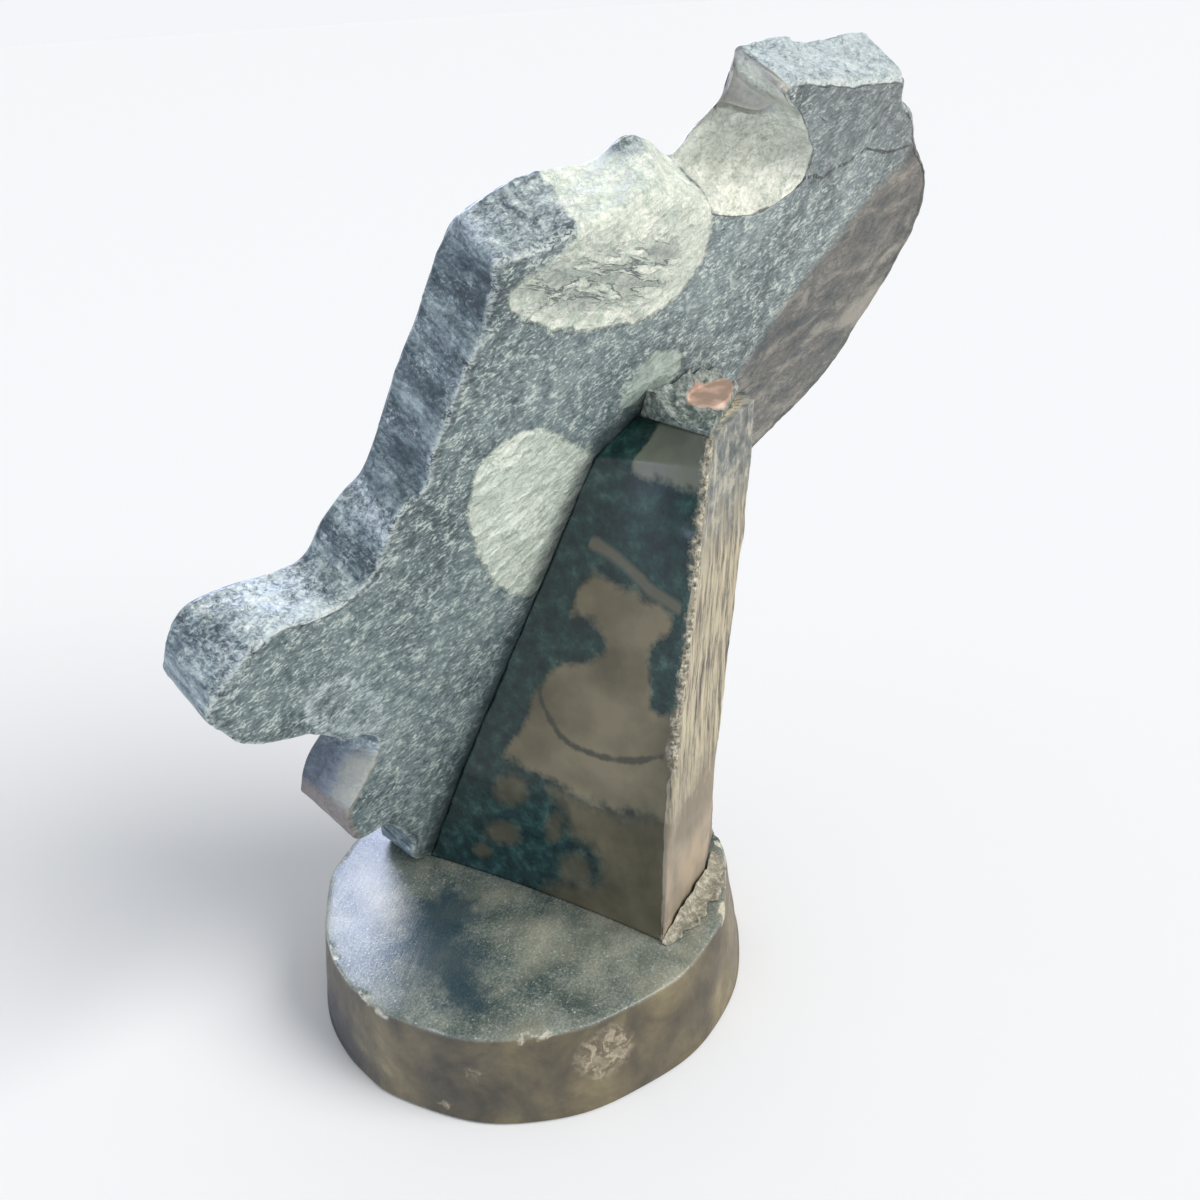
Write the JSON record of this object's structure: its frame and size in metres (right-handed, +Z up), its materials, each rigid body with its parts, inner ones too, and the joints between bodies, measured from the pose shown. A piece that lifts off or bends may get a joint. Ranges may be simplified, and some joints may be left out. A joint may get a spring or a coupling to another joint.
{
  "type": "fossil plate on a stone stand",
  "caption": "Thick plate of dark limestone with straight and coiled shells in relief, leaning back on a hand-cut stone prop over a round stone base.",
  "frame": {"origin": "centre of the base's flat underside", "axes": "+Z up; the plate's show face looks towards -Y and its width runs along X; the prop is behind it at +Y"},
  "size_m": [0.2201, 0.1269, 0.249],
  "materials": {
    "base_limestone": "polished, worn rim",
    "plate_limestone": "sawn back, polished show face",
    "prop_limestone": "one side polished, the others sawn",
    "dark_resin": "rough, gritty",
    "pale_resin": "rough, lumpy"
  },
  "bodies": {
    "root": {"base_disc": "base_limestone", "fossil_plate": "plate_limestone", "prop_block": "prop_limestone", "resin_crust": "dark_resin", "resin_fillet": "pale_resin"}
  },
  "joints": []
}
